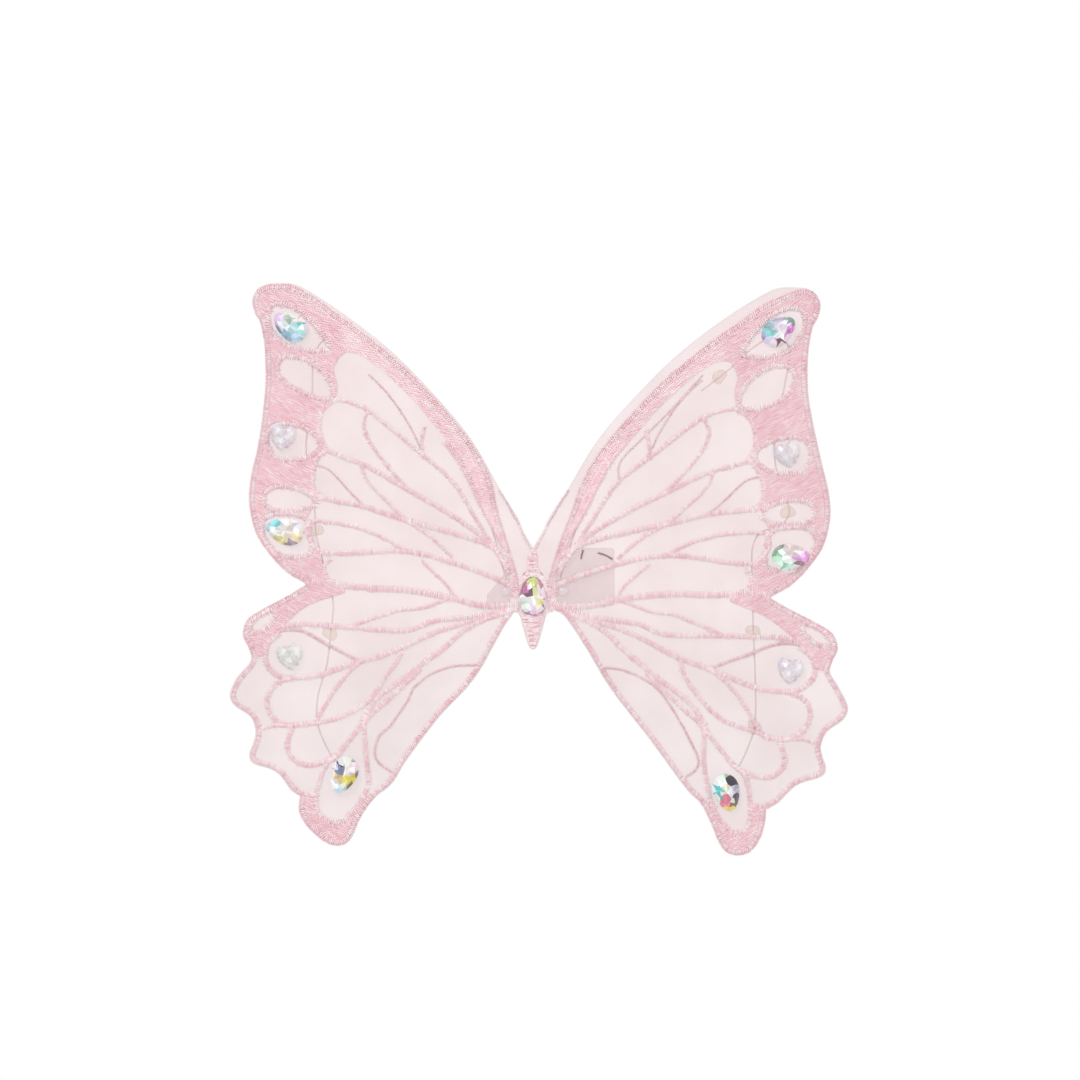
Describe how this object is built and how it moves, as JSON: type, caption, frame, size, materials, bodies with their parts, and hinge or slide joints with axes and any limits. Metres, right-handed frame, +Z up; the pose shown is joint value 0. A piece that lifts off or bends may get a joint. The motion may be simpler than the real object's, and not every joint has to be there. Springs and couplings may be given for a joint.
{
  "type": "butterfly costume wings",
  "caption": "Embroidered sheer butterfly wings on a small stitched body, with glued stones, hidden shaping wires and a flat fixing pad at the back.",
  "frame": {"origin": "middle of the fixing pad's flat back face, behind the centre stone", "axes": "+Z up along the body towards the wing tips, +X towards the wing on the right as seen from the front, -Y towards the front, where the stitching and the stones are"},
  "size_m": [0.2953, 0.0084, 0.2734],
  "materials": {
    "organza": "sheer pale pink organza with a heat-cut edge",
    "thread": "pink rayon embroidery thread, satin and fill stitches",
    "pale_thread": "pink embroidery thread that catches the light, satin stitch",
    "iridescent_stone": "faceted flat-backed pear stone with a mirrored back and a rainbow coating",
    "clear_stone": "faceted clear heart stone with a faint rainbow coating",
    "wire": "thin drawn wire, slightly tarnished",
    "glue": "yellowed hot-melt glue",
    "clear_glue": "clear glossy glue",
    "clear_patch": "clear soft plastic film"
  },
  "bodies": {
    "centre": {"centre_panel": "organza", "body_stitching": "thread", "centre_stone": "iridescent_stone", "back_pad": "clear_patch"},
    "right_wing": {"right_panel": "organza", "right_edge_cord": "thread", "right_lead_band": "thread", "right_margin_fill": "thread", "right_hind_fill": "thread", "right_window_rings": "pale_thread", "right_fore_veins": "thread", "right_hind_veins": "thread", "right_fine_veins": "thread", "right_tip_stone": "iridescent_stone", "right_fore_stone": "iridescent_stone", "right_hind_stone": "iridescent_stone", "right_fore_heart": "clear_stone", "right_hind_heart": "clear_stone", "right_rib_wire": "wire", "right_spar_wire": "wire", "right_glue_dots": "glue", "right_root_patch": "clear_patch", "right_clear_drop": "clear_glue", "right_staple": "wire"},
    "left_wing": {"left_panel": "organza", "left_edge_cord": "thread", "left_lead_band": "thread", "left_margin_fill": "thread", "left_hind_fill": "thread", "left_window_rings": "pale_thread", "left_fore_veins": "thread", "left_hind_veins": "thread", "left_fine_veins": "thread", "left_tip_stone": "iridescent_stone", "left_fore_stone": "iridescent_stone", "left_hind_stone": "iridescent_stone", "left_fore_heart": "clear_stone", "left_hind_heart": "clear_stone", "left_rib_wire": "wire", "left_spar_wire": "wire", "left_glue_dots": "glue", "left_root_patch": "clear_patch", "left_clear_drop": "clear_glue"}
  },
  "joints": [
    {"name": "right_wing_fold", "type": "hinge", "parent": "centre", "child": "right_wing", "pos_m": [0.008, -0.0022, 0], "axis": [0, 0, 1], "range_deg": [-60, 80]},
    {"name": "left_wing_fold", "type": "hinge", "parent": "centre", "child": "left_wing", "pos_m": [-0.008, -0.0022, 0], "axis": [0, 0, -1], "range_deg": [-60, 80]}
  ]
}
